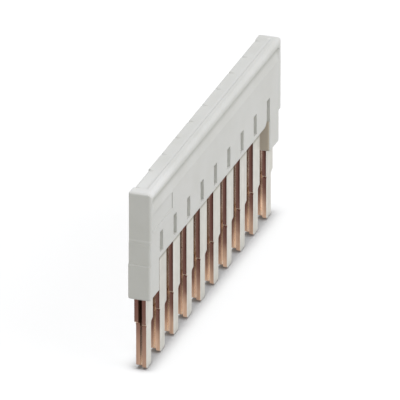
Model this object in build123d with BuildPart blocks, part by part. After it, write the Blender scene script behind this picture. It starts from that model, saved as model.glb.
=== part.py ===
"""Ten-position plug-in jumper bar for terminal blocks.

A pale moulded housing holds one contact comb: a tinned copper strip, stamped with ten
prongs and folded lengthwise, so that each prong is a pair of spring leaves.

Length runs along X with the plain near end at -X, the thin way is Y with the front face
at -Y, and the prongs point down with their tips at z = 0. Millimetres.
"""

from build123d import *
import os

os.makedirs("parts", exist_ok=True)

# Row of positions
positions = 10
pitch = 5.2

# Contact comb: strip, leaves and prongs
sheet = 0.52
leaf_gap = 0.5
tip_gap = 0.3
prong_width = 2.65
tip_width = 1.86
shoulder_height = 6.45
shoulder_rise = 0.32
joggle_rise = 0.6
tip_bevel = 0.12
tip_sag = 0.42
tip_corner = 0.2
leaf_stagger = 0.27

# Contact comb: the bar inside the housing
bar_cover = 0.9
bar_height = 5.8
bar_end_inset = 0.375
root_round = 0.5
barb_reach = 0.1
barb_height = 0.5
end_relief_drop = 0.3

# Housing: overall
housing_thickness = 3.0
prong_exposed = 14.53
body_height = 9.95
near_end_margin = 1.45
far_end_margin = 2.5
flap_end_margin = 1.75
flap_length = 3.68
near_flap_drop = 4.6
far_flap_drop = 4.33
end_step_rise = 0.15
band_height = 2.95
band_relief = 0.1

# Housing: rounded edges
corner_round = 0.3
flap_foot_round = 0.28
top_round = 0.18
corner_scoop = 0.95

# Housing: finger bead along the front top edge
bead_round = 0.55
bead_height = 0.95
groove_depth = 0.35
groove_floor = 0.15
groove_flank = 1.35
near_groove_margin = 0.45
near_run_out = 1.0
far_groove_margin = 0.6
far_run_out = 0.55

# Housing: recessed top strip with one pry notch over each prong
top_strip_depth = 0.2
bead_width = 1.06
top_strip_offset = 0.25
top_strip_round = 0.1
top_strip_ramp = 0.5
first_bay_round = 0.42
notch_offset = 1.1
notch_length = 0.65
notch_lean = 0.25
notch_depth = 0.2
notch_width = 0.9

# Housing: slots between positions and the bare label field
slot_width = 1.2
slot_height = 2.85
slot_depth = 0.45
slot_sill = 0.55
label_length = 7.7
label_height = 2.2
label_drop = 3.15
label_depth = 0.09
label_margin = 0.6

# Fit between comb and housing
side_clearance = 0.05
sleeve_clearance = 0.06

# How far a cut runs past the face it opens, and how near a corner or face counts as level
cut_past = 1.0
level_tolerance = 0.01

# Places worked out from the sizes above
row_length = (positions - 1) * pitch
half_thickness = housing_thickness / 2
near_reach = max(near_end_margin, flap_end_margin)
far_reach = max(far_end_margin, flap_end_margin)
row_x = (near_reach - far_reach) / 2
first_x = row_x - row_length / 2
last_x = row_x + row_length / 2
near_face = first_x - near_end_margin
near_flap_face = first_x - flap_end_margin
far_face = last_x + far_end_margin
far_flap_face = last_x + flap_end_margin

body_bottom = prong_exposed
body_top = body_bottom + body_height
step_z = body_bottom + end_step_rise
band_top = step_z + band_height
near_flap_bottom = body_bottom - near_flap_drop
far_flap_bottom = body_bottom - far_flap_drop

leaf_half = leaf_gap / 2 + sheet
tip_half = tip_gap / 2 + sheet
shoulder_low = shoulder_height - joggle_rise
bar_bottom = body_bottom + bar_cover
fold_top = bar_bottom + bar_height
bar_half = row_length / 2 + prong_width / 2 - bar_end_inset
channel_half = bar_half + barb_reach
end_relief_z = body_bottom - end_relief_drop
last_slot = row_length / 2 - pitch / 2

front_plane = Plane(origin=(row_x, -half_thickness, 0), x_dir=(1, 0, 0), z_dir=(0, -1, 0))
middle_plane = Plane(origin=(row_x, 0, 0), x_dir=(1, 0, 0), z_dir=(0, -1, 0))
back_plane = Plane(origin=(row_x, half_thickness, 0), x_dir=(1, 0, 0), z_dir=(0, -1, 0))


def leaf_sides(side, lift):
    """Outer and inner line of one leaf, listed from the fold down to the tip."""
    outer = [
        (side * leaf_half, fold_top - leaf_half),
        (side * leaf_half, lift + shoulder_height),
        (side * tip_half, lift + shoulder_low),
        (side * tip_half, lift + tip_bevel),
        (side * (tip_half - tip_bevel), lift),
    ]
    inner = [
        (side * leaf_gap / 2, fold_top - leaf_half),
        (side * leaf_gap / 2, lift + shoulder_height),
        (side * tip_gap / 2, lift + shoulder_low),
        (side * tip_gap / 2, lift),
    ]
    return outer, inner


# Outline of one leaf seen from the front: wide at the root, narrower below the shoulder,
# with a bowed tip
prong_top = bar_bottom + root_round
with BuildSketch() as prong_outline:
    with BuildLine():
        Polyline(
            (tip_width / 2, tip_sag),
            (tip_width / 2, shoulder_height - shoulder_rise),
            (prong_width / 2, shoulder_height),
            (prong_width / 2, prong_top),
            (-prong_width / 2, prong_top),
            (-prong_width / 2, shoulder_height),
            (-tip_width / 2, shoulder_height - shoulder_rise),
            (-tip_width / 2, tip_sag),
        )
        ThreePointArc((-tip_width / 2, tip_sag), (0, 0), (tip_width / 2, tip_sag))
    make_face()
    fillet(prong_outline.vertices().group_by(Axis.Y)[0], radius=tip_corner)

# The stamped outline as two plates, one for each leaf. The strip is folded a little off its
# middle, so the prongs of the back leaf sit higher.
with BuildPart() as stamped_plates:
    for plate_plane, lift in ((middle_plane, 0), (back_plane, leaf_stagger)):
        with BuildSketch(plate_plane) as plate_outline:
            with Locations((0, bar_bottom)):
                Rectangle(2 * bar_half, bar_height, align=(Align.CENTER, Align.MIN))
            with Locations((0, lift)):
                with GridLocations(pitch, 1, positions, 1):
                    add(prong_outline.sketch)
            root_corners = [
                corner
                for corner in plate_outline.vertices().filter_by_position(
                    Axis.Y, bar_bottom - level_tolerance, bar_bottom + level_tolerance
                )
                if abs(corner.X) < row_length / 2
            ]
            fillet(root_corners, radius=root_round)
            # The end prongs step in before they enter the thin ends of the housing
            for side in (-1, 1):
                with Locations((side * (bar_half + bar_end_inset), end_relief_z)):
                    Rectangle(
                        2 * bar_end_inset,
                        prong_top - end_relief_z + cut_past,
                        align=(Align.CENTER, Align.MIN),
                        mode=Mode.SUBTRACT,
                    )
            # Retaining barbs on the two ends of the bar
            for side in (-1, 1):
                barb_z = bar_bottom + bar_height / 2
                with BuildLine():
                    Polyline(
                        (side * bar_half, barb_z - barb_height / 2),
                        (side * (bar_half + barb_reach), barb_z - barb_height / 2),
                        (side * bar_half, barb_z + barb_height / 2),
                        close=True,
                    )
                make_face()
        extrude(amount=half_thickness)

# Contact comb: the folded section along the whole row, kept inside the two plates
with BuildPart() as contact_comb:
    front_outer, front_inner = leaf_sides(-1, 0)
    back_outer, back_inner = leaf_sides(1, leaf_stagger)
    with BuildSketch(Plane.YZ.offset(row_x - channel_half - prong_width)):
        with BuildLine():
            Polyline(*front_outer, *reversed(front_inner))
            ThreePointArc(front_inner[0], (0, fold_top - sheet), back_inner[0])
            Polyline(*back_inner, *reversed(back_outer))
            ThreePointArc(back_outer[0], (0, fold_top), front_outer[0])
        make_face()
    extrude(amount=2 * (channel_half + prong_width))
    add(stamped_plates.part, mode=Mode.INTERSECT)

contact_comb.part.label = "contact_comb"
export_step(contact_comb.part, "parts/contact_comb.step")

# Outline of one pry notch seen from the side
notch_top = body_top - top_strip_depth
with BuildSketch() as notch_outline:
    with BuildLine():
        Polyline(
            (notch_offset - notch_length, notch_top),
            (notch_offset - notch_lean, notch_top - notch_depth),
            (notch_offset, notch_top),
            (notch_offset, notch_top + cut_past),
            (notch_offset - notch_length, notch_top + cut_past),
            close=True,
        )
    make_face()

# Storeys of the housing, each with its two ends and its lower and upper level
storeys = (
    (near_face, far_face, band_top, body_top),
    (near_face - band_relief, far_face, step_z, band_top),
    (near_flap_face, far_flap_face, body_bottom, step_z),
    (near_flap_face, near_flap_face + flap_length, near_flap_bottom, body_bottom),
    (far_flap_face - flap_length, far_flap_face, far_flap_bottom, body_bottom),
)

# Insulating housing: body with a raised end band, two end flaps and an overhanging far end
with BuildPart() as insulating_housing:
    for x_low, x_high, z_low, z_high in storeys:
        with BuildSketch(Plane.XY.offset(z_low)):
            with Locations(((x_low + x_high) / 2, 0)):
                RectangleRounded(x_high - x_low, housing_thickness, corner_round)
        extrude(amount=z_high - z_low)
    for foot_z in (near_flap_bottom, far_flap_bottom):
        foot = insulating_housing.faces().filter_by_position(
            Axis.Z, foot_z - level_tolerance, foot_z + level_tolerance
        )
        fillet(foot.edges(), radius=flap_foot_round)
    fillet(insulating_housing.faces().sort_by(Axis.Z)[-1].edges(), radius=top_round)

    # Finger bead: the front top edge rounded over the whole length
    with BuildSketch(Plane.YZ.offset(near_face - cut_past)):
        with BuildLine():
            bead_arc = RadiusArc(
                (-half_thickness, body_top - bead_round),
                (-half_thickness + bead_round, body_top),
                bead_round,
            )
            Polyline(
                bead_arc @ 1,
                (-half_thickness + bead_round, body_top + cut_past),
                (-housing_thickness, body_top + cut_past),
                (-housing_thickness, body_top - bead_round),
                bead_arc @ 0,
            )
        make_face()
    extrude(amount=far_face - near_face + 2 * cut_past, mode=Mode.SUBTRACT)

    # Groove under the bead, between the two solid ends; it runs out gently at both
    groove_start = near_face + near_groove_margin + near_run_out
    groove_end = far_face - far_groove_margin - far_run_out
    groove_back = -half_thickness + groove_depth
    bead_foot = body_top - bead_height
    groove_top = bead_foot - groove_depth
    groove_cuts = (
        (groove_start, (groove_end - groove_start, 0, 0)),
        (groove_start, (-near_run_out, -groove_depth, 0)),
        (groove_end, (far_run_out, -groove_depth, 0)),
    )
    for cut_start, cut_run in groove_cuts:
        with BuildSketch(Plane.YZ.offset(cut_start)):
            with BuildLine():
                Polyline(
                    (-housing_thickness, bead_foot),
                    (-half_thickness, bead_foot),
                    (groove_back, groove_top),
                    (groove_back, groove_top - groove_floor),
                    (-half_thickness, groove_top - groove_floor - groove_flank),
                    (-housing_thickness, groove_top - groove_floor - groove_flank),
                    close=True,
                )
            make_face()
        extrude(amount=Vector(cut_run).length, dir=cut_run, mode=Mode.SUBTRACT)

    # Recessed strip along the top, its back edge rounded more over the first bay
    first_notch = first_x + notch_offset
    last_notch = last_x + notch_offset
    strip_start = first_x + top_strip_offset
    strip_z = body_top - top_strip_depth
    bays = (
        (strip_start, last_notch, top_strip_round),
        (strip_start, first_notch + pitch, first_bay_round),
    )
    for bay_start, bay_end, bay_round in bays:
        with BuildSketch(Plane.YZ.offset(bay_start)):
            with BuildLine():
                strip_arc = RadiusArc(
                    (half_thickness - bay_round, strip_z),
                    (half_thickness, strip_z - bay_round),
                    bay_round,
                )
                Polyline(
                    strip_arc @ 1,
                    (housing_thickness, strip_z - bay_round),
                    (housing_thickness, body_top + cut_past),
                    (-half_thickness + bead_width, body_top + cut_past),
                    (-half_thickness + bead_width, strip_z),
                    strip_arc @ 0,
                )
            make_face()
        extrude(amount=bay_end - bay_start, mode=Mode.SUBTRACT)

    # The far end of the strip comes up in a ramp
    with BuildSketch(back_plane):
        with BuildLine():
            Polyline(
                (last_notch - row_x, body_top - top_strip_depth),
                (last_notch - row_x + top_strip_ramp, body_top),
                (last_notch - row_x, body_top),
                close=True,
            )
        make_face()
    extrude(amount=housing_thickness - bead_width, mode=Mode.SUBTRACT)

    # Pry notches, one over each prong: a ramp down to an upright wall, fading out inwards
    with BuildSketch(back_plane):
        with GridLocations(pitch, 1, positions, 1):
            add(notch_outline.sketch)
    notch_run = (0, -notch_width, notch_depth)
    extrude(amount=Vector(notch_run).length, dir=notch_run, mode=Mode.SUBTRACT)

    # Blind slots in the front face, one between each two positions; the last runs out below
    slot_bottom = body_bottom + slot_sill
    with BuildSketch(front_plane):
        with Locations((0, slot_bottom + slot_height / 2)):
            with GridLocations(pitch, 1, positions - 1, 1):
                Rectangle(slot_width, slot_height)
        with Locations((last_slot, slot_bottom)):
            Rectangle(slot_width, 2 * slot_sill + slot_width)
    extrude(amount=-slot_depth, mode=Mode.SUBTRACT)

    # The lower corner of the wall beside the open slot is rounded off
    scoop_x = last_slot - slot_width / 2
    with BuildSketch(front_plane):
        with Locations((scoop_x, body_bottom)):
            Rectangle(corner_scoop, corner_scoop, align=(Align.MAX, Align.MIN))
        with Locations((scoop_x - corner_scoop, body_bottom + corner_scoop)):
            Circle(corner_scoop, mode=Mode.SUBTRACT)
    extrude(amount=-slot_depth, mode=Mode.SUBTRACT)

    # Shallow bare label field near the plain end
    with BuildSketch(front_plane):
        with Locations((near_face - row_x + label_margin, body_top - label_drop)):
            Rectangle(label_length, label_height, align=(Align.MIN, Align.MAX))
    extrude(amount=-label_depth, mode=Mode.SUBTRACT)

    # Channel for the bar of the comb, open below between the flaps
    with BuildSketch(Plane.XY.offset(body_bottom)):
        with Locations((row_x, 0)):
            Rectangle(2 * channel_half, 2 * (leaf_half + side_clearance))
    extrude(amount=fold_top - body_bottom, mode=Mode.SUBTRACT)

    # Sleeves round the two end prongs, up through the flaps
    for sleeve_x, sleeve_bottom in ((first_x, near_flap_bottom), (last_x, far_flap_bottom)):
        with BuildSketch(Plane.XY.offset(sleeve_bottom)):
            with Locations((sleeve_x, 0)):
                Rectangle(
                    prong_width + 2 * sleeve_clearance,
                    2 * (leaf_half + side_clearance),
                )
        extrude(amount=body_bottom - sleeve_bottom, mode=Mode.SUBTRACT)

insulating_housing.part.label = "insulating_housing"
export_step(insulating_housing.part, "parts/insulating_housing.step")
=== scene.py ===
import math

import bmesh
import bpy
from bpy.props import FloatProperty, FloatVectorProperty, IntProperty, PointerProperty
from mathutils import Matrix, Vector


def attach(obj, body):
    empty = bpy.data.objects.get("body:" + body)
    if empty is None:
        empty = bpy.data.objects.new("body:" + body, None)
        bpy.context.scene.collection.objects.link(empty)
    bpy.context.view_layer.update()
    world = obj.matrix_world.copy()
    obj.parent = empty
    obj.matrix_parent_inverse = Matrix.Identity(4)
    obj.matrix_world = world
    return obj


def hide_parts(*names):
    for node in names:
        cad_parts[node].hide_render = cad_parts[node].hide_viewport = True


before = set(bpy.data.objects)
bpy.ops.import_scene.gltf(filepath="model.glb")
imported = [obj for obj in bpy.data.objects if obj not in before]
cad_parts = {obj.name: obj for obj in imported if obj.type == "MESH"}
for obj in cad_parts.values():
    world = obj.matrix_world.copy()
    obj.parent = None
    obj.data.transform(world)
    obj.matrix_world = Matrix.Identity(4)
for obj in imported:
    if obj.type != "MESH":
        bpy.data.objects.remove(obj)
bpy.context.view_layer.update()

bl_info = {
    "name": "Terminal Block Jumper Bar",
    "version": (1, 0, 0),
    "blender": (4, 5, 0),
    "location": "View3D > Sidebar > Jumper Bar",
    "description": "Dresses a plug-in jumper bar: moulded housing and tinned contact comb",
    "category": "Object",
}

MM = 0.001
HOUSING = "insulating_housing"
COMB = "contact_comb"

# Kinds of face on the comb, by the numbers that its mesh carries.
KINDS = ("Tinned Face", "Stamped Edge", "Inner Face", "Shoulder")
TINNED, STAMPED, INNER, SHOULDER = range(len(KINDS))
KIND_LAYER = "face_kind"

# Noise is about the middle value on average and mostly between the other two.
NOISE_LOW, NOISE_MIDDLE, NOISE_HIGH = 0.35, 0.5, 0.65
FINE_SCALE, BROAD_SCALE = 1.0, 0.2  # of the fine and the broad streaks, once stretched
WANDER_SCALE = 900.0  # of the unevenness in the copper's fading

# How strongly each mark shows, from 0 to 1.
PARTING_HIGHLIGHT_SHARE = 0.7
TIN_STREAKS = 0.35
COPPER_STREAKS = 0.3
JOGGLE_GLINT_SHARE = 0.42
DIM_SHARE = 0.82

SIDE_DEPTH = 0.05 * MM  # how far from a flat side of the moulding its mask still holds

# Heights on a prong from which and up to which its copper darkens: painted shade towards the
# housing, at other heights in the near end prong.
EDGE_FADE = (0.4 * MM, 5.2 * MM)
INNER_FADE = (0.4 * MM, 5.7 * MM)
NEAR_FADE = (-4.0 * MM, 10.0 * MM)
FADE_WANDER = 1.6 * MM

WELD_REACH = 0.004 * MM
SEAM_SLACK = 0.0001 * MM
BEVEL_FROM = math.radians(50)
SHARP_FROM = math.radians(35)

# Ways from the bar to the lamps.
TO_OVERHEAD = (-0.02, 0.06, 1.0)
TO_FRONT = (0.0, -0.82, 0.57)
TO_FLOOR_LAMPS = (-0.03, 0.0, 1.0)

# Where the camera looks, in millimetres: a point over the middle of the prong row, and how far the
# middle of the picture lies from it, to the right and up as seen.
OVER_ROW = (-0.375, 0.0, 12.13)
PICTURE_RIGHT, PICTURE_UP = -0.545, 0.531

WHITE = (1.0, 1.0, 1.0)


def paint(red, green, blue):
    """A colour as picked on screen, 0 to 255, in the linear values that materials use."""
    def linear(value):
        v = value / 255
        return v / 12.92 if v <= 0.04045 else ((v + 0.055) / 1.055) ** 2.4
    return (linear(red), linear(green), linear(blue))


def length_of(name, description, millimetres):
    """A length that a user can change, in metres in the file and in scene units on screen."""
    return FloatProperty(
        name=name, description=description, default=millimetres * MM,
        min=0.0, precision=5, unit="LENGTH", subtype="DISTANCE",
    )


def colour_of(name, description, red, green, blue):
    """A colour that a user can change."""
    return FloatVectorProperty(
        name=name, description=description, default=paint(red, green, blue),
        min=0.0, max=1.0, size=3, subtype="COLOR",
    )


def level_of(name, description, value, **limits):
    """A strength or share that a user can change."""
    return FloatProperty(name=name, description=description, default=value, min=0.0, **limits)


def angle_of(name, description, degrees):
    """An angle that a user can change."""
    return FloatProperty(
        name=name, description=description, default=math.radians(degrees), subtype="ANGLE",
    )


class CombSettings(bpy.types.PropertyGroup):
    """Sizes and finishes of the folded contact comb."""

    positions: IntProperty(
        name="Positions", description="How many prongs stand in the row", default=10, min=3,
    )
    pitch: length_of("Pitch", "Distance from one prong to the next", 5.2)
    row_x: length_of("Row Centre", "How far the middle of the row lies towards the near end", 0.375)
    sheet: length_of("Sheet", "Thickness of the strip", 0.52)
    leaf_gap: length_of("Leaf Gap", "Clear gap between the two leaves above the shoulder", 0.5)
    tip_gap: length_of("Tip Gap", "Clear gap between the two leaves below the shoulder", 0.3)
    prong_width: length_of("Prong Width", "Width of a prong above its shoulder", 2.65)
    tip_width: length_of("Tip Width", "Width of a prong below its shoulder", 1.86)
    shoulder_height: length_of("Shoulder Height", "Where a prong starts to narrow", 6.45)
    shoulder_rise: length_of("Shoulder Rise", "Height over which a prong narrows", 0.32)
    joggle_rise: length_of("Joggle Rise", "Height over which the leaves step inwards", 0.6)
    tip_bevel: length_of("Tip Bevel", "Chamfer on the outside of a tip", 0.12)
    tip_sag: length_of("Tip Sag", "How far the bowed end of a tip hangs down", 0.42)
    tip_corner: length_of("Tip Corner", "Rounding of the two corners of a tip", 0.2)
    leaf_stagger: length_of("Leaf Stagger", "How much higher the back leaves sit", 0.27)
    bar_bottom: length_of("Bar Bottom", "Lower edge of the bar that joins the prongs", 15.43)
    fold_top: length_of("Fold Top", "Top of the fold", 21.23)
    end_inset: length_of("End Inset", "How far the bar ends inside the end prongs", 0.375)
    end_relief: length_of("End Relief", "Height where the end prongs step in", 14.23)
    root_round: length_of("Root Round", "Rounding between a prong and the bar", 0.5)
    barb_reach: length_of("Barb Reach", "How far the retaining barbs stand out", 0.1)
    barb_height: length_of("Barb Height", "Height of a retaining barb", 0.5)
    edge_round: length_of("Edge Round", "Rounding along the stamped edges", 0.045)
    tin: colour_of("Tin", "Plated faces", 203, 201, 193)
    tin_shade: colour_of("Tin Shade", "Darker streaks in the plating", 190, 188, 180)
    # Painted shade: the stamped edges go from Copper, Low near the tips to the darker Copper, High
    # near the housing.
    copper_low: colour_of("Copper, Low", "Stamped edges near the tips", 202, 168, 143)
    copper_high: colour_of("Copper, High", "Stamped edges near the housing", 106, 74, 66)
    # Painted light and shade: the inside of the leaves is painted bright near the tips, where light
    # reaches into the gap, and darker towards the housing.
    inner_low: colour_of("Inner Face, Low", "Inside of the leaves near the tips", 246, 220, 194)
    inner_high: colour_of("Inner Face, High", "Inside of the leaves near the housing", 142, 110, 76)
    # Painted highlight: the sloping shoulder faces are given a bright copper so that they glint.
    shoulder_glint: colour_of("Shoulder Glint", "Shoulders rubbed bright by the stamping die", 246, 228, 204)
    # Painted shade: the plating darkens just under the housing, which shades it.
    tin_under_housing_shade: colour_of("Tin, Root", "Duller plating just under the housing", 156, 154, 142)
    root_shade_start: length_of("Root Start", "Height where the plating starts to dull", 12.95)
    root_shade_full: length_of("Root Full", "Height where the plating is fully dull", 13.42)
    # Painted highlight: the inner faces are painted brighter round the joggle, where the leaves
    # step in.
    joggle_glint_height: length_of("Joggle Height", "Height where the inner faces are rubbed bright", 5.7)
    joggle_glint_reach: length_of("Joggle Reach", "How far the rubbing fades up and down from it", 0.8)
    # Painted shade: the inside of the near end prong dims from Near Low and turns dark and less
    # metallic towards Near High.
    near_inside_shade: colour_of("Near Inside", "Dark inside of the near end prong", 108, 78, 62)
    near_end: length_of("Near End", "How far from the middle the near end prong starts", 21.0)
    near_low: length_of("Near Low", "Height where its inside starts to dim", 0.0)
    near_rise: length_of("Near Rise", "Height over which it dims", 3.4)
    near_high: length_of("Near High", "Height where its inside is fully dark", 6.7)
    near_border: length_of("Near Border", "Height over which it turns from dim to dark", 1.0)


class HousingSettings(bpy.types.PropertyGroup):
    """Colours of the moulded housing, and where its marks lie."""

    plastic: colour_of("Plastic", "Main colour of the moulding", 210, 210, 205)
    plastic_shade: colour_of("Plastic Shade", "Faint cloudy variation in it", 205, 205, 199)
    # Painted shade along the finger groove under the bead.
    groove_shade: colour_of("Groove Shade", "Dust and shade along the finger groove", 176, 177, 168)
    groove_height: length_of("Groove Height", "Level of the deepest line of the groove", 23.2)
    groove_reach: length_of("Groove Reach", "How far the shade fades up and down from it", 0.75)
    groove_front: length_of("Groove Front", "How far in front of the middle the shade starts", 1.1)
    groove_end: length_of("Groove End", "Distance from the middle where the shade ends", 25.2)
    groove_fade: length_of("Groove Fade", "How far the shade fades before it ends", 1.0)
    # Painted highlights: the top is painted paler towards the near end and along the strip's front
    # edge, and so is the parting line across the near end.
    highlit: colour_of("Highlit", "Top of the moulding where fingers rub it pale", 219, 219, 215)
    highlit_start: length_of("Rubbed Start", "Distance from the middle where rubbing starts", 14.0)
    highlit_full: length_of("Rubbed Full", "Distance from the middle where it is strongest", 22.0)
    highlit_end: length_of("Rubbed End", "Distance from the middle where rubbing ends", 25.0)
    highlit_fade: length_of("Rubbed Fade", "How far the rubbing fades before it ends", 0.5)
    highlit_height: length_of("Rubbed Height", "Level above which the moulding is rubbed", 23.9)
    strip_edge: length_of("Strip Edge", "How far the strip's front edge lies from the middle", 0.2)
    strip_reach: length_of("Strip Reach", "How far the rubbing fades from that edge", 0.42)
    # Painted highlight along the mould's parting line across the near end.
    line_height: length_of("Line Height", "Level of the parting line across the near end", 18.05)
    line_reach: length_of("Line Reach", "How far that line fades up and down", 0.2)
    line_start: length_of("Line Start", "Distance from the middle beyond which it shows", 25.0)
    # Painted reflection: warm light bounced from the copper onto the inner side of the far flap.
    copper_bounce: colour_of("Warm Flap", "Inner side of the far flap, tinted by the copper", 209, 199, 181)
    copper_bounce_side: length_of("Warm Side", "Distance of that side from the middle", 21.095)
    copper_bounce_top: length_of("Warm Top", "Height up to which it is tinted", 14.5)


class StageSettings(bpy.types.PropertyGroup):
    """Floor, lamps and camera."""

    floor: colour_of("Floor", "Floor as it lights the bar", 110, 110, 110)
    floor_seen: colour_of("Floor, Seen", "Floor as the camera sees it", 155, 155, 155)
    sky_tint: colour_of("Sky Tint", "Colour of the light from all round", 255, 255, 251)
    lamp_tint: colour_of("Lamp Tint", "Colour of the front lamp", 244, 244, 255)
    key_tint: colour_of("Key Tint", "Colour of the lamp overhead", 215, 220, 255)
    sky_level: level_of("Sky Level", "Even light from all round", 0.76)
    key_level: level_of("Key Level", "Strength of the soft lamp overhead", 0.42)
    key_spread: angle_of("Key Spread", "How wide the lamp overhead looks", 20)
    front_level: level_of("Front Level", "Strength of the high lamp in front", 1.12)
    front_spread: angle_of("Front Spread", "How wide the front lamp looks", 50)
    floor_level: level_of("Floor Level", "Strength of the light that falls only on the floor", 6.6)
    floor_spread: angle_of("Floor Spread", "How wide the lamps of that light look", 8.5)
    whole_share: level_of(
        "Whole Share", "Part of that light which the housing shades as well", 0.26, max=1.0,
    )
    floor_glow: level_of("Floor Glow", "Lift of the floor towards plain white as it is seen", 0.02)
    floor_mirrored: level_of(
        "Floor Mirrored", "Lift of the floor towards plain white in the metal", 0.68,
    )
    azimuth: angle_of("Camera Azimuth", "Angle round the bar from its front face", -71.008)
    elevation: angle_of("Camera Elevation", "Angle above the floor", 25.041)
    distance: length_of("Camera Distance", "From the camera to the bar", 1672.36)
    lens: FloatProperty(
        name="Lens", description="Focal length", default=1189.01, min=1.0, unit="CAMERA",
    )


class JumperBarSettings(bpy.types.PropertyGroup):
    """Everything that a user can change."""

    comb: PointerProperty(type=CombSettings)
    housing: PointerProperty(type=HousingSettings)
    stage: PointerProperty(type=StageSettings)


class Wiring:
    """Adds nodes to one tree and joins them."""

    spacing = 190

    def __init__(self, tree):
        self.tree = tree
        self.column = 0

    def node(self, kind, **values):
        """A new node beside the last one, with its values set."""
        made = self.tree.nodes.new(kind)
        made.location = (self.column * self.spacing, 0)
        self.column += 1
        for name, value in values.items():
            setattr(made, name, value)
        return made

    def join(self, source, target):
        """Links an output to an input."""
        self.tree.links.new(source, target)

    def feed(self, target, value):
        """Joins a socket, or sets a plain value."""
        if isinstance(value, bpy.types.NodeSocket):
            self.join(value, target)
        elif hasattr(value, "__len__") and target.type == "RGBA":
            target.default_value = (*value[:3], 1.0)
        else:
            target.default_value = value

    def math(self, operation, *values):
        """Result of an operation on up to three values."""
        made = self.node("ShaderNodeMath", operation=operation)
        for socket, value in zip(made.inputs, values):
            self.feed(socket, value)
        return made.outputs[0]

    def product(self, first, *others):
        """Masks or values multiplied together."""
        for other in others:
            first = self.math("MULTIPLY", first, other)
        return first

    def ramp(self, value, low, high):
        """0 at low, 1 at high, eased between."""
        made = self.node("ShaderNodeMapRange", interpolation_type="SMOOTHSTEP")
        self.feed(made.inputs["Value"], value)
        self.feed(made.inputs["From Min"], low)
        self.feed(made.inputs["From Max"], high)
        return made.outputs["Result"]

    def mix(self, share, first, second):
        """The first colour at share 0, the second at 1."""
        made = self.node("ShaderNodeMix", data_type="RGBA")
        # The colour sockets go by number, because other data types have sockets of these names.
        self.feed(made.inputs["Factor"], share)
        self.feed(made.inputs[6], first)
        self.feed(made.inputs[7], second)
        return made.outputs[2]

    def noise(self, vector, scale, detail=2.0):
        """Soft noise, about 0.5 on average."""
        made = self.node("ShaderNodeTexNoise", noise_dimensions="3D")
        self.feed(made.inputs["Vector"], vector)
        self.feed(made.inputs["Scale"], scale)
        self.feed(made.inputs["Detail"], detail)
        return made.outputs["Fac"]

    def place(self):
        """Place on the piece."""
        return self.node("ShaderNodeTexCoord").outputs["Object"]

    def axes(self, vector):
        """X, Y and Z of a place."""
        parts = self.node("ShaderNodeSeparateXYZ")
        self.join(vector, parts.inputs[0])
        return parts.outputs


def new_group(name, inputs, outputs):
    """An empty shader group with named sockets, and its wiring."""
    tree = bpy.data.node_groups.new(name, "ShaderNodeTree")
    for label, kind, default in inputs:
        socket = tree.interface.new_socket(name=label, in_out="INPUT", socket_type=kind)
        socket.default_value = default
    for label, kind in outputs:
        tree.interface.new_socket(name=label, in_out="OUTPUT", socket_type=kind)
    wiring = Wiring(tree)
    source = wiring.node("NodeGroupInput")
    sink = wiring.node("NodeGroupOutput")
    return tree, wiring, source.outputs, sink.inputs


def cloudy_group():
    """Faint cloudy variation between two colours, by place on the piece."""
    name = "Cloudy Colour"
    if name in bpy.data.node_groups:
        return bpy.data.node_groups[name]
    tree, w, source, sink = new_group(
        name,
        [
            ("First", "NodeSocketColor", (1, 1, 1, 1)),
            ("Second", "NodeSocketColor", (0, 0, 0, 1)),
            ("Scale", "NodeSocketFloat", 100.0),
            ("Contrast", "NodeSocketFloat", 0.2),
        ],
        [("Colour", "NodeSocketColor")],
    )
    cloud = w.noise(w.place(), source["Scale"], detail=4.0)
    low = w.math("SUBTRACT", NOISE_MIDDLE, source["Contrast"])
    high = w.math("ADD", NOISE_MIDDLE, source["Contrast"])
    w.join(w.mix(w.ramp(cloud, low, high), source["First"], source["Second"]), sink["Colour"])
    return tree


def streak_group():
    """Fine streaks that run up the strip, from rolling and stamping it."""
    name = "Upright Streaks"
    if name in bpy.data.node_groups:
        return bpy.data.node_groups[name]
    tree, w, source, sink = new_group(
        name,
        [
            ("Across", "NodeSocketFloat", 9000.0),
            ("Along", "NodeSocketFloat", 600.0),
        ],
        [("Height", "NodeSocketFloat"), ("Mask", "NodeSocketFloat")],
    )
    axes = w.axes(w.place())
    stretched = w.node("ShaderNodeCombineXYZ")
    for axis, scale in (("X", "Across"), ("Y", "Across"), ("Z", "Along")):
        w.join(w.product(axes[axis], source[scale]), stretched.inputs[axis])
    fine = w.noise(stretched.outputs[0], FINE_SCALE, detail=3.0)
    broad = w.noise(stretched.outputs[0], BROAD_SCALE, detail=1.0)
    w.join(w.math("ADD", fine, broad), sink["Height"])
    w.join(w.ramp(broad, NOISE_LOW, NOISE_HIGH), sink["Mask"])
    return tree


def rising_group():
    """0 near the tips and 1 higher up, with an uneven border and other heights at the near end: the
    mask of the painted shade that darkens the copper towards the housing.
    """
    name = "Rising Shade"
    if name in bpy.data.node_groups:
        return bpy.data.node_groups[name]
    tree, w, source, sink = new_group(
        name,
        [
            ("Low", "NodeSocketFloat", 0.0),
            ("High", "NodeSocketFloat", 0.01),
            ("Unevenness", "NodeSocketFloat", 0.001),
            ("Near End", "NodeSocketFloat", 1.0),
            ("Near Low", "NodeSocketFloat", 0.0),
            ("Near High", "NodeSocketFloat", 0.01),
        ],
        [("Mask", "NodeSocketFloat")],
    )
    place = w.place()
    axes = w.axes(place)
    wander = w.math("SUBTRACT", w.noise(place, WANDER_SCALE), NOISE_MIDDLE)
    height = w.math("MULTIPLY_ADD", wander, source["Unevenness"], axes["Z"])
    towards_near_end = w.math("MULTIPLY", axes["X"], -1.0)
    at_end = w.math("GREATER_THAN", towards_near_end, source["Near End"])
    limits = []
    for label in ("Low", "High"):
        change = w.math("SUBTRACT", source["Near " + label], source[label])
        limits.append(w.math("MULTIPLY_ADD", at_end, change, source[label]))
    w.join(w.ramp(height, *limits), sink["Mask"])
    return tree


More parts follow.
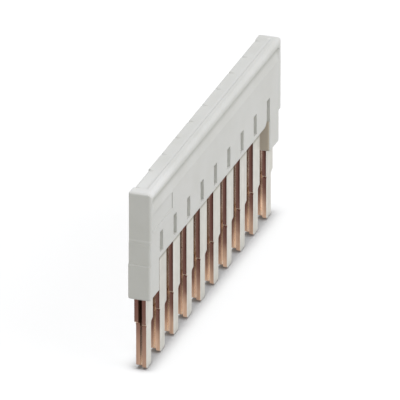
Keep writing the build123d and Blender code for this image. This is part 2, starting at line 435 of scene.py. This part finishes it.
def band_group():
    """1 where a value is at a level, fading to 0 within a reach on either side."""
    name = "Soft Band"
    if name in bpy.data.node_groups:
        return bpy.data.node_groups[name]
    tree, w, source, sink = new_group(
        name,
        [
            ("Value", "NodeSocketFloat", 0.0),
            ("Level", "NodeSocketFloat", 0.0),
            ("Reach", "NodeSocketFloat", 0.001),
        ],
        [("Mask", "NodeSocketFloat")],
    )
    off = w.math("ABSOLUTE", w.math("SUBTRACT", source["Value"], source["Level"]))
    w.join(w.ramp(off, source["Reach"], 0.0), sink["Mask"])
    return tree


def new_material(name):
    """A material with its own shader, and its wiring."""
    material = bpy.data.materials.new(name)
    material.use_nodes = True
    material.node_tree.nodes.clear()
    w = Wiring(material.node_tree)
    output = w.node("ShaderNodeOutputMaterial")
    shader = w.node("ShaderNodeBsdfPrincipled")
    w.join(shader.outputs["BSDF"], output.inputs["Surface"])
    return material, w, shader


def use_group(w, tree, **values):
    """Places a shared effect in a material with its own values."""
    made = w.node("ShaderNodeGroup", node_tree=tree)
    for name, value in values.items():
        w.feed(made.inputs[name], value)
    return made.outputs


def band(w, value, level, reach):
    """Mask of a soft band round a level."""
    return use_group(w, band_group(), Value=value, Level=level, Reach=reach)["Mask"]


def between_ends(w, x, end, fade):
    """Mask of the stretch between two places as far from the middle, faded at both."""
    return w.ramp(w.math("ABSOLUTE", x), end, end - fade)


def roughened(w, shader, mask, least, extra):
    """Gives the shader a roughness that grows with a mask."""
    w.join(w.math("MULTIPLY_ADD", mask, extra, least), shader.inputs["Roughness"])


def bumped(w, shader, height, distance, strength, soft_edge=None):
    """Gives the shader a fine relief, over edges softened by a small radius."""
    bump = w.node("ShaderNodeBump")
    bump.inputs["Strength"].default_value = strength
    bump.inputs["Distance"].default_value = distance
    w.join(height, bump.inputs["Height"])
    if soft_edge:
        rounded = w.node("ShaderNodeBevel", samples=6)
        rounded.inputs["Radius"].default_value = soft_edge
        w.join(rounded.outputs[0], bump.inputs["Normal"])
    w.join(bump.outputs["Normal"], shader.inputs["Normal"])


def moulded_plastic(colours):
    """Pale moulded polyamide: matt, faintly cloudy, with a fine eroded grain, painted shade along
    the groove, painted highlights on the top, the strip's edge and the parting line, and a painted
    copper reflection inside the far flap.
    """
    material, w, shader = new_material("moulded_plastic")
    place = w.place()
    axes = w.axes(place)
    colour = use_group(
        w, cloudy_group(), First=colours.plastic, Second=colours.plastic_shade,
        Scale=260.0, Contrast=0.25,
    )["Colour"]
    # Painted shade along the groove under the bead.
    along_groove = w.product(
        band(w, axes["Z"], colours.groove_height, colours.groove_reach),
        w.math("LESS_THAN", axes["Y"], -colours.groove_front),
        between_ends(w, axes["X"], colours.groove_end, colours.groove_fade),
    )
    # Painted highlights on the top: paler towards the near end and along the strip's front edge.
    on_top = w.product(
        between_ends(w, axes["X"], colours.highlit_end, colours.highlit_fade),
        w.math("GREATER_THAN", axes["Z"], colours.highlit_height),
    )
    near_top = w.product(
        on_top, w.ramp(axes["X"], -colours.highlit_start, -colours.highlit_full)
    )
    strip_line = w.product(on_top, band(w, axes["Y"], -colours.strip_edge, colours.strip_reach))
    # Painted highlight along the parting line.
    parting_highlight = w.product(
        band(w, axes["Z"], colours.line_height, colours.line_reach),
        w.math("LESS_THAN", axes["X"], -colours.line_start), PARTING_HIGHLIGHT_SHARE,
    )
    # Painted reflection of the copper on the inner side of the far flap.
    off_side = w.math("ABSOLUTE", w.math("SUBTRACT", axes["X"], colours.copper_bounce_side))
    copper_bounce_mask = w.product(
        w.math("LESS_THAN", off_side, SIDE_DEPTH),
        w.math("LESS_THAN", axes["Z"], colours.copper_bounce_top),
    )
    for mask, tint in (
        (along_groove, colours.groove_shade), (near_top, colours.highlit),
        (strip_line, colours.highlit), (parting_highlight, colours.highlit),
        (copper_bounce_mask, colours.copper_bounce),
    ):
        colour = w.mix(mask, colour, tint)
    w.join(colour, shader.inputs["Base Color"])
    grain = w.noise(place, scale=9000.0, detail=3.0)
    roughened(w, shader, grain, least=0.46, extra=0.12)
    shader.inputs["Specular IOR Level"].default_value = 0.4
    shader.inputs["Subsurface Weight"].default_value = 0.08
    shader.inputs["Subsurface Radius"].default_value = (0.8 * MM, 0.7 * MM, 0.6 * MM)
    shader.inputs["Subsurface Scale"].default_value = 0.5
    bumped(w, shader, grain, distance=0.02 * MM, strength=0.35, soft_edge=0.14 * MM)
    return material


def tinned_face(colours):
    """Tin plating on rolled strip: satin, with faint upright streaks and painted shade just under
    the housing.
    """
    material, w, shader = new_material("tinned_face")
    streaks = use_group(w, streak_group(), Across=5200.0, Along=260.0)
    cloudy = use_group(
        w, cloudy_group(), First=colours.tin, Second=colours.tin_shade,
        Scale=900.0, Contrast=0.3,
    )
    streaked = w.mix(
        w.product(streaks["Mask"], TIN_STREAKS), cloudy["Colour"], colours.tin_shade
    )
    # Painted shade just under the housing.
    root = w.ramp(w.axes(w.place())["Z"], colours.root_shade_start, colours.root_shade_full)
    w.join(w.mix(root, streaked, colours.tin_under_housing_shade), shader.inputs["Base Color"])
    shader.inputs["Metallic"].default_value = 1.0
    roughened(w, shader, streaks["Mask"], least=0.34, extra=0.1)
    bumped(w, shader, streaks["Height"], distance=0.01 * MM, strength=0.25)
    return material


def streaked_copper(colours, name, low, high, fade, roughness):
    """A streaked copper that goes from one colour near the tips to another higher up, as painted
    shade towards the housing.

    Its colour is left for the caller to join.
    """
    material, w, shader = new_material(name)
    rising = use_group(w, rising_group(), **{
        "Low": fade[0], "High": fade[1], "Unevenness": FADE_WANDER,
        "Near End": colours.near_end, "Near Low": NEAR_FADE[0], "Near High": NEAR_FADE[1],
    })
    streaks = use_group(w, streak_group(), Across=9000.0, Along=900.0)
    # Painted shade: darker up towards the housing.
    colour = w.mix(rising["Mask"], low, high)
    colour = w.mix(w.product(streaks["Mask"], COPPER_STREAKS), colour, colours.copper_high)
    roughened(w, shader, streaks["Mask"], least=roughness, extra=0.1)
    bumped(w, shader, streaks["Height"], distance=0.02 * MM, strength=0.4)
    return material, w, shader, colour


def bare_copper(colours, name, low, high):
    """Bare copper where the strip was cut."""
    material, w, shader, colour = streaked_copper(
        colours, name, low, high, EDGE_FADE, roughness=0.3
    )
    w.join(colour, shader.inputs["Base Color"])
    shader.inputs["Metallic"].default_value = 1.0
    return material


def inner_copper(colours):
    """Smooth copper between the leaves, painted bright near the tips and darker higher up, with a
    painted highlight where they step in and painted shade in the near end prong.
    """
    material, w, shader, colour = streaked_copper(
        colours, "inner_face", colours.inner_low, colours.inner_high, INNER_FADE, roughness=0.12
    )
    axes = w.axes(w.place())
    # Painted highlight round the joggle.
    joggle = band(w, axes["Z"], colours.joggle_glint_height, colours.joggle_glint_reach)
    colour = w.mix(w.product(joggle, JOGGLE_GLINT_SHARE), colour, colours.inner_low)
    # Painted shade inside the near end prong: dimmed low down, dark and less metallic higher up.
    at_end = w.math("LESS_THAN", axes["X"], -colours.near_end)
    dim = w.ramp(axes["Z"], colours.near_low, colours.near_low + colours.near_rise)
    dark = w.ramp(axes["Z"], colours.near_high - colours.near_border, colours.near_high)
    shade = w.product(at_end, w.math("MAXIMUM", w.product(dim, DIM_SHARE), dark))
    w.join(w.mix(shade, colour, colours.near_inside_shade), shader.inputs["Base Color"])
    w.join(w.math("SUBTRACT", 1.0, w.product(at_end, dark)), shader.inputs["Metallic"])
    shader.inputs["Specular IOR Level"].default_value = 0.0
    return material


def on_line(at, points):
    """Value at a height on a line given as (height, value) points, lowest first."""
    if at <= points[0][0]:
        return points[0][1]
    for (low, first), (high, second) in zip(points, points[1:]):
        if at <= high:
            share = (at - low) / (high - low)
            return first + (second - first) * share
    return points[-1][1]


class StripShape:
    """The folded strip in numbers: where its two surfaces and its side edges run.

    The steps are the shares of each stretch at which the mesh has a row or a column.
    """

    fold_steps = 8
    bow_steps = (0.0, 0.35, 0.7)
    corner_steps = (0.0, 0.25, 0.5, 0.75, 1.0)
    tip_steps = (0.15, 0.4, 0.7, 1.0)
    shank_steps = (0.25, 0.5, 0.75)
    root_steps = (0.0, 0.1, 0.3, 0.6)
    jog = 0.02 * MM

    def __init__(self, s):
        self.s = s
        self.outer_top = s.leaf_gap / 2 + s.sheet
        self.inner_top = s.leaf_gap / 2
        self.joggle_low = s.shoulder_height - s.joggle_rise
        self.fold_start = s.fold_top - self.outer_top
        self.barb_low = (s.bar_bottom + s.fold_top - s.barb_height) / 2
        self.barb_high = self.barb_low + s.barb_height
        self.places = self.tip_places()

    def tip_places(self):
        """(share of the half width, height above the tip) along the bowed end of a leaf."""
        s = self.s
        half = s.tip_width / 2
        bow = (half ** 2 + s.tip_sag ** 2) / (2 * s.tip_sag)
        centre = Vector((half - s.tip_corner, 0.0))
        centre.y = bow - math.sqrt((bow - s.tip_corner) ** 2 - centre.x ** 2)
        lean = math.atan2(centre.x, bow - centre.y)
        made = []
        for share in self.bow_steps:
            turn = lean * share
            made.append((bow * math.sin(turn), bow - bow * math.cos(turn)))
        for share in self.corner_steps:
            turn = lean + (math.pi / 2 - lean) * share
            made.append((
                centre.x + s.tip_corner * math.sin(turn),
                centre.y - s.tip_corner * math.cos(turn),
            ))
        right = [(x / half, z) for x, z in made]
        return [(-x, z) for x, z in reversed(right[1:])] + right

    def outer_at(self, z):
        """Distance from the middle to the outside of a leaf, z above the leaf's own tip."""
        s = self.s
        tip = s.tip_gap / 2 + s.sheet
        return on_line(z, (
            (0.0, tip - s.tip_bevel), (s.tip_bevel, tip),
            (self.joggle_low, tip), (s.shoulder_height, self.outer_top),
        ))

    def inner_at(self, z):
        """Distance from the middle to the inside of a leaf, z above the leaf's own tip."""
        s = self.s
        return on_line(z, (
            (self.joggle_low, s.tip_gap / 2), (s.shoulder_height, self.inner_top),
        ))

    def half_width(self, z, lift):
        """Half the width of a prong at a height, with its round root."""
        s = self.s
        half = on_line(z - lift, (
            (s.shoulder_height - s.shoulder_rise, s.tip_width / 2),
            (s.shoulder_height, s.prong_width / 2),
        ))
        root = z - (s.bar_bottom - s.root_round)
        if root > 0:
            rise = min(root, s.root_round)
            half += s.root_round - math.sqrt(max(0.0, s.root_round ** 2 - rise ** 2))
        return half

    def end_width(self, z):
        """Half width on the outer side of an end prong, with its step and its barb."""
        s = self.s
        inset = s.prong_width / 2 - s.end_inset
        return on_line(z, (
            (s.end_relief, s.prong_width / 2), (s.end_relief + self.jog, inset),
            (self.barb_low, inset), (self.barb_low + self.jog, inset + s.barb_reach),
            (self.barb_high, inset),
        ))

    def on_shoulder(self, first, second):
        """Tells whether an edge of the outline runs along the sloping shoulder."""
        s = self.s
        low = (s.leaf_stagger if first.y > 0 else 0.0) + s.shoulder_height - s.shoulder_rise
        return all(-self.jog < z - low < s.shoulder_rise + self.jog for z in (first.z, second.z))

    def heights(self, lift):
        """Heights of the level rows up one leaf, to the start of the fold."""
        s = self.s
        rows = {
            s.end_relief, s.end_relief + self.jog, s.bar_bottom, self.barb_low,
            self.barb_low + self.jog, self.barb_high, self.fold_start,
            lift + s.shoulder_height - s.shoulder_rise, lift + s.shoulder_height,
        }
        for share in self.root_steps:
            rows.add(s.bar_bottom - s.root_round * (1 - share))
        for share in self.shank_steps:
            rows.add(lift + s.shoulder_height + (s.end_relief - s.shoulder_height) * share)
        for share in self.tip_steps:
            rows.add(lift + self.joggle_low * share)
        return sorted(rows)

    def leaf_rows(self, side, lift):
        """Rows up one leaf, each with the leaf's lift.

        A row holds (outer y, outer z, inner y, inner z, height) place by place.
        """
        made = []
        for rise in (0.0, self.s.tip_bevel):
            row = []
            for _, hang in self.places:
                z = hang + rise
                row.append((
                    side * self.outer_at(z), lift + z,
                    side * self.inner_at(z), lift + z, lift + z,
                ))
            made.append((row, lift))
        for height in self.heights(lift):
            z = height - lift
            point = (
                side * self.outer_at(z), height, side * self.inner_at(z), height, height,
            )
            made.append(([point] * len(self.places), lift))
        return made

    def rows(self):
        """All such rows, from the front leaf's tip over the fold to the back leaf's tip."""
        made = self.leaf_rows(-1, 0.0)
        for step in range(1, self.fold_steps):
            turn = math.pi * step / self.fold_steps
            y, z = -math.cos(turn), math.sin(turn)
            point = (
                self.outer_top * y, self.fold_start + self.outer_top * z,
                self.inner_top * y, self.fold_start + self.inner_top * z, self.fold_start,
            )
            made.append(([point] * len(self.places), 0.0))
        return made + self.leaf_rows(1, self.s.leaf_stagger)[::-1]


def strip_cell(name, s, open_left, open_right):
    """One pitch of the comb: a prong and its stretch of bar, open where the next one joins."""
    shape = StripShape(s)
    shares = [share for share, _ in shape.places]
    mesh = bpy.data.meshes.new(name)
    bm = bmesh.new()
    kind = bm.faces.layers.int.new(KIND_LAYER)
    outer_rows, inner_rows = [], []
    for row, lift in shape.rows():
        height = row[0][4]
        inside = shape.half_width(height, lift)
        outside = inside if height < s.end_relief else shape.end_width(height)
        left = inside if open_left else outside
        right = inside if open_right else outside
        spots = {i: (left if x < 0 else right) * x for i, x in enumerate(shares)}
        # The bar has one more column at an open side, at the seam with the next cell.
        if height >= s.bar_bottom:
            if open_left:
                spots[-1] = -s.pitch / 2
            if open_right:
                spots[len(shares)] = s.pitch / 2
        outer_row, inner_row = {}, {}
        for i, x in spots.items():
            outer_y, outer_z, inner_y, inner_z, _ = row[min(max(i, 0), len(row) - 1)]
            outer_row[i] = bm.verts.new((x, outer_y, outer_z))
            inner_row[i] = bm.verts.new((x, inner_y, inner_z))
        outer_rows.append(outer_row)
        inner_rows.append(inner_row)
    for rows, number in ((outer_rows, TINNED), (inner_rows, INNER)):
        for low, high in zip(rows, rows[1:]):
            for i in range(-1, len(shares)):
                if all(k in row for row in (low, high) for k in (i, i + 1)):
                    corners = [low[i], low[i + 1], high[i + 1], high[i]]
                    if number == INNER:
                        corners.reverse()
                    bm.faces.new(corners)[kind] = number
    partner = {}
    for outer, inner in zip(outer_rows, inner_rows):
        for i in outer:
            partner[outer[i]] = inner[i]
    seam = s.pitch / 2 - SEAM_SLACK
    rims = [
        edge for edge in bm.edges
        if len(edge.link_faces) == 1 and edge.verts[0] in partner
        and not all(abs(corner.co.x) > seam for corner in edge.verts)
    ]
    for edge in rims:
        first, second = edge.verts
        if edge.link_loops[0].vert is first:
            first, second = second, first
        face = bm.faces.new([first, second, partner[second], partner[first]])
        face[kind] = SHOULDER if shape.on_shoulder(first.co, second.co) else STAMPED
    bm.to_mesh(mesh)
    bm.free()
    cell = bpy.data.objects.new(name, mesh)
    bpy.context.scene.collection.objects.link(cell)
    return cell


def comb_tree():
    """Geometry nodes: sets the cells in a row and gives each kind of face its finish."""
    tree = bpy.data.node_groups.new("Prong Row", "GeometryNodeTree")
    interface = tree.interface
    for label, socket in (
        ("Geometry", "NodeSocketGeometry"), ("Near Cell", "NodeSocketObject"),
        ("Middle Cell", "NodeSocketObject"), ("Far Cell", "NodeSocketObject"),
        ("Positions", "NodeSocketInt"), ("Pitch", "NodeSocketFloat"),
        ("Row Centre", "NodeSocketFloat"),
        *((label, "NodeSocketMaterial") for label in KINDS),
    ):
        interface.new_socket(name=label, in_out="INPUT", socket_type=socket)
    interface.new_socket(name="Geometry", in_out="OUTPUT", socket_type="NodeSocketGeometry")
    w = Wiring(tree)
    source = w.node("NodeGroupInput").outputs
    sink = w.node("NodeGroupOutput")
    last = w.math("SUBTRACT", source["Positions"], 1.0)
    half_row = w.product(last, source["Pitch"], 0.5)
    near_x = w.math("SUBTRACT", source["Row Centre"], half_row)
    far_x = w.math("ADD", source["Row Centre"], half_row)
    inner_count = w.math("SUBTRACT", source["Positions"], 2.0)
    second_x = w.math("ADD", near_x, source["Pitch"])
    joined = w.node("GeometryNodeJoinGeometry")
    for label, count, start in (
        ("Near Cell", 1, near_x), ("Middle Cell", inner_count, second_x),
        ("Far Cell", 1, far_x),
    ):
        line = w.node("GeometryNodeMeshLine", mode="OFFSET")
        w.feed(line.inputs["Count"], count)
        begin = w.node("ShaderNodeCombineXYZ")
        w.join(start, begin.inputs["X"])
        w.join(begin.outputs[0], line.inputs["Start Location"])
        apart = w.node("ShaderNodeCombineXYZ")
        w.join(source["Pitch"], apart.inputs["X"])
        w.join(apart.outputs[0], line.inputs["Offset"])
        info = w.node("GeometryNodeObjectInfo", transform_space="ORIGINAL")
        w.join(source[label], info.inputs["Object"])
        placed = w.node("GeometryNodeInstanceOnPoints")
        w.join(line.outputs["Mesh"], placed.inputs["Points"])
        w.join(info.outputs["Geometry"], placed.inputs["Instance"])
        w.join(placed.outputs["Instances"], joined.inputs["Geometry"])
    real = w.node("GeometryNodeRealizeInstances")
    w.join(joined.outputs["Geometry"], real.inputs["Geometry"])
    flow = real.outputs["Geometry"]
    kind = w.node("GeometryNodeInputNamedAttribute", data_type="INT")
    kind.inputs["Name"].default_value = KIND_LAYER
    for number, label in enumerate(KINDS):
        chosen = w.node("FunctionNodeCompare", data_type="INT", operation="EQUAL")
        # The whole-number sockets go by number, because other data types have such names too.
        w.join(kind.outputs["Attribute"], chosen.inputs[2])
        chosen.inputs[3].default_value = number
        finish = w.node("GeometryNodeSetMaterial")
        w.join(flow, finish.inputs["Geometry"])
        w.join(chosen.outputs["Result"], finish.inputs["Selection"])
        w.join(source[label], finish.inputs["Material"])
        flow = finish.outputs["Geometry"]
    w.join(flow, sink.inputs["Geometry"])
    return tree


def set_input(modifier, tree, label, value):
    """Sets a named input of a geometry nodes modifier by its identifier."""
    for item in tree.interface.items_tree:
        if item.item_type == "SOCKET" and item.in_out == "INPUT" and item.name == label:
            modifier[item.identifier] = value


def plain_copy(source, name):
    """What an object shows, modifiers and all, as a new object with a plain mesh."""
    bpy.context.view_layer.update()
    seen = source.evaluated_get(bpy.context.evaluated_depsgraph_get())
    mesh = bpy.data.meshes.new_from_object(seen)
    mesh.name = name
    made = bpy.data.objects.new(name, mesh)
    bpy.context.scene.collection.objects.link(made)
    return made


class JUMPERBAR_OT_comb(bpy.types.Operator):
    """Builds the folded comb with its tinned faces and bare stamped edges"""

    bl_idname = "jumperbar.comb"
    bl_label = "Contact Comb"

    def execute(self, context):
        s = context.scene.jumper_bar.comb
        cells = {
            "Near Cell": strip_cell("near_cell", s, False, True),
            "Middle Cell": strip_cell("middle_cell", s, True, True),
            "Far Cell": strip_cell("far_cell", s, True, False),
        }
        finishes = dict(zip(KINDS, (
            tinned_face(s),
            bare_copper(s, "stamped_edge", s.copper_low, s.copper_high),
            inner_copper(s),
            # Painted highlight on the shoulder faces.
            bare_copper(s, "shoulder_glint_edge", s.shoulder_glint, s.shoulder_glint),
        )))
        tree = comb_tree()
        carrier = bpy.data.objects.new("comb_rows", bpy.data.meshes.new("comb_rows"))
        context.scene.collection.objects.link(carrier)
        modifier = carrier.modifiers.new("Prong Row", "NODES")
        modifier.node_group = tree
        values = {
            "Positions": s.positions, "Pitch": s.pitch, "Row Centre": -s.row_x,
            **cells, **finishes,
        }
        for label, value in values.items():
            set_input(modifier, tree, label, value)
        weld = carrier.modifiers.new("Join Cells", "WELD")
        weld.merge_threshold = WELD_REACH
        bevel = carrier.modifiers.new("Round Edges", "BEVEL")
        bevel.width = s.edge_round
        bevel.segments = 2
        bevel.limit_method = "ANGLE"
        bevel.angle_limit = BEVEL_FROM
        bevel.harden_normals = True
        comb = plain_copy(carrier, "tinned_comb")
        bpy.data.objects.remove(carrier)
        for cell in cells.values():
            bpy.data.objects.remove(cell)
        if not comb.data.polygons:
            raise RuntimeError("the comb came out empty")
        for polygon in comb.data.polygons:
            polygon.use_smooth = True
        comb.data.set_sharp_from_angle(angle=SHARP_FROM)
        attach(comb, "root")
        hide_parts(COMB)
        return {"FINISHED"}


class JUMPERBAR_OT_housing(bpy.types.Operator):
    """Gives the moulded housing its plastic finish"""

    bl_idname = "jumperbar.housing"
    bl_label = "Insulating Housing"

    def execute(self, context):
        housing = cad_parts.get(HOUSING)
        if housing is None:
            raise RuntimeError("the frame has no housing")
        housing.data.materials.clear()
        housing.data.materials.append(moulded_plastic(context.scene.jumper_bar.housing))
        return {"FINISHED"}


def direction(azimuth, elevation):
    """Unit vector from the bar towards a place round it."""
    return Vector((
        math.sin(azimuth) * math.cos(elevation),
        -math.cos(azimuth) * math.cos(elevation),
        math.sin(elevation),
    ))


def soft_lamp(name, towards, level, spread, tint):
    """A soft lamp, very far away; the spread is how wide it looks."""
    data = bpy.data.lights.new(name, "SUN")
    data.energy = level
    data.color = tint
    data.angle = spread
    lamp = bpy.data.objects.new(name, data)
    lamp.rotation_mode = "QUATERNION"
    lamp.rotation_quaternion = Vector(towards).to_track_quat("Z", "Y")
    bpy.context.scene.collection.objects.link(lamp)
    return lamp


def lay_floor(colour, seen_colour, glow, mirrored):
    """A pale floor under the tips, lifted to plain white where no shadow falls."""
    mesh = bpy.data.meshes.new("floor")
    bm = bmesh.new()
    bmesh.ops.create_grid(bm, x_segments=1, y_segments=1, size=3.0)
    bm.to_mesh(mesh)
    bm.free()
    floor = bpy.data.objects.new("floor", mesh)
    bpy.context.scene.collection.objects.link(floor)
    material, w, shader = new_material("floor_paper")
    shader.inputs["Roughness"].default_value = 0.9
    shader.inputs["Specular IOR Level"].default_value = 0.0
    path = w.node("ShaderNodeLightPath")
    seen = path.outputs["Is Camera Ray"]
    w.join(w.mix(seen, colour, seen_colour), shader.inputs["Base Color"])
    lift = w.product(path.outputs["Is Glossy Ray"], mirrored)
    w.join(w.math("MULTIPLY_ADD", seen, glow, lift), shader.inputs["Emission Strength"])
    shader.inputs["Emission Color"].default_value = (*WHITE, 1.0)
    mesh.materials.append(material)
    return floor


def hang_sky(level, tint):
    """Even light from all round; the camera, metal and glass see plain white."""
    world = bpy.data.worlds.new("studio")
    world.use_nodes = True
    world.node_tree.nodes.clear()
    w = Wiring(world.node_tree)
    output = w.node("ShaderNodeOutputWorld")
    background = w.node("ShaderNodeBackground")
    path = w.node("ShaderNodeLightPath")
    seen = w.math(
        "MAXIMUM", path.outputs["Is Camera Ray"],
        w.math("MAXIMUM", path.outputs["Is Glossy Ray"], path.outputs["Is Transmission Ray"]),
    )
    w.join(w.mix(seen, tint, WHITE), background.inputs["Color"])
    w.join(w.math("MULTIPLY_ADD", seen, 1.0 - level, level), background.inputs["Strength"])
    w.join(background.outputs[0], output.inputs["Surface"])
    bpy.context.scene.world = world


def light_floor(floor, s):
    """Lights only the floor, most of it in the shade of the prongs alone, for a narrow shadow."""
    floor_only = bpy.data.collections.new("floor_only")
    floor_only.objects.link(floor)
    comb_only = bpy.data.collections.new("comb_only")
    comb_only.objects.link(bpy.data.objects["tinned_comb"])
    for name, share, blockers in (
        ("floor_lamp", s.whole_share, None), ("prong_lamp", 1.0 - s.whole_share, comb_only),
    ):
        lamp = soft_lamp(name, TO_FLOOR_LAMPS, s.floor_level * share, s.floor_spread, WHITE)
        lamp.light_linking.receiver_collection = floor_only
        lamp.light_linking.blocker_collection = blockers


def point_camera(s):
    """Sets the camera at its angle and distance, looking at the bar."""
    back = direction(s.azimuth, s.elevation)
    right = Vector((math.cos(s.azimuth), math.sin(s.azimuth), 0.0))
    up = back.cross(right)
    target = Vector(OVER_ROW) * MM
    target += (PICTURE_RIGHT * right + PICTURE_UP * up) * MM
    data = bpy.data.cameras.new("camera")
    data.lens = s.lens
    data.sensor_width = 36.0
    data.clip_start = 0.01
    data.clip_end = 100.0
    camera = bpy.data.objects.new("camera", data)
    bpy.context.scene.collection.objects.link(camera)
    turn = Matrix((right, up, back)).transposed().to_4x4()
    camera.matrix_world = Matrix.Translation(target + back * s.distance) @ turn
    bpy.context.scene.camera = camera


class JUMPERBAR_OT_stage(bpy.types.Operator):
    """Lays the floor, sets the lamps and points the camera"""

    bl_idname = "jumperbar.stage"
    bl_label = "Stage"

    def execute(self, context):
        s = context.scene.jumper_bar.stage
        floor = lay_floor(s.floor, s.floor_seen, s.floor_glow, s.floor_mirrored)
        hang_sky(s.sky_level, s.sky_tint)
        soft_lamp("overhead_softbox", TO_OVERHEAD, s.key_level, s.key_spread, s.key_tint)
        soft_lamp("front_softbox", TO_FRONT, s.front_level, s.front_spread, s.lamp_tint)
        light_floor(floor, s)
        point_camera(s)
        context.scene.view_settings.view_transform = "Standard"
        return {"FINISHED"}


class JUMPERBAR_PT_panel(bpy.types.Panel):
    """Lists the steps in the sidebar"""

    bl_idname = "JUMPERBAR_PT_panel"
    bl_label = "Jumper Bar"
    bl_space_type = "VIEW_3D"
    bl_region_type = "UI"
    bl_category = "Jumper Bar"

    def draw(self, context):
        for step in STEPS:
            self.layout.operator(step.bl_idname)
        settings = context.scene.jumper_bar
        for group in (settings.comb, settings.housing, settings.stage):
            box = self.layout.box()
            for name in group.bl_rna.properties.keys():
                if name not in {"rna_type", "name"}:
                    box.prop(group, name)


STEPS = (JUMPERBAR_OT_housing, JUMPERBAR_OT_comb, JUMPERBAR_OT_stage)
CLASSES = (
    CombSettings, HousingSettings, StageSettings, JumperBarSettings, *STEPS, JUMPERBAR_PT_panel,
)


def register():
    for part in CLASSES:
        bpy.utils.register_class(part)
    bpy.types.Scene.jumper_bar = PointerProperty(type=JumperBarSettings)


def unregister():
    del bpy.types.Scene.jumper_bar
    for part in reversed(CLASSES):
        bpy.utils.unregister_class(part)


def main():
    register()
    for step in (bpy.ops.jumperbar.housing, bpy.ops.jumperbar.comb, bpy.ops.jumperbar.stage):
        step()


if __name__ == "__main__":
    main()
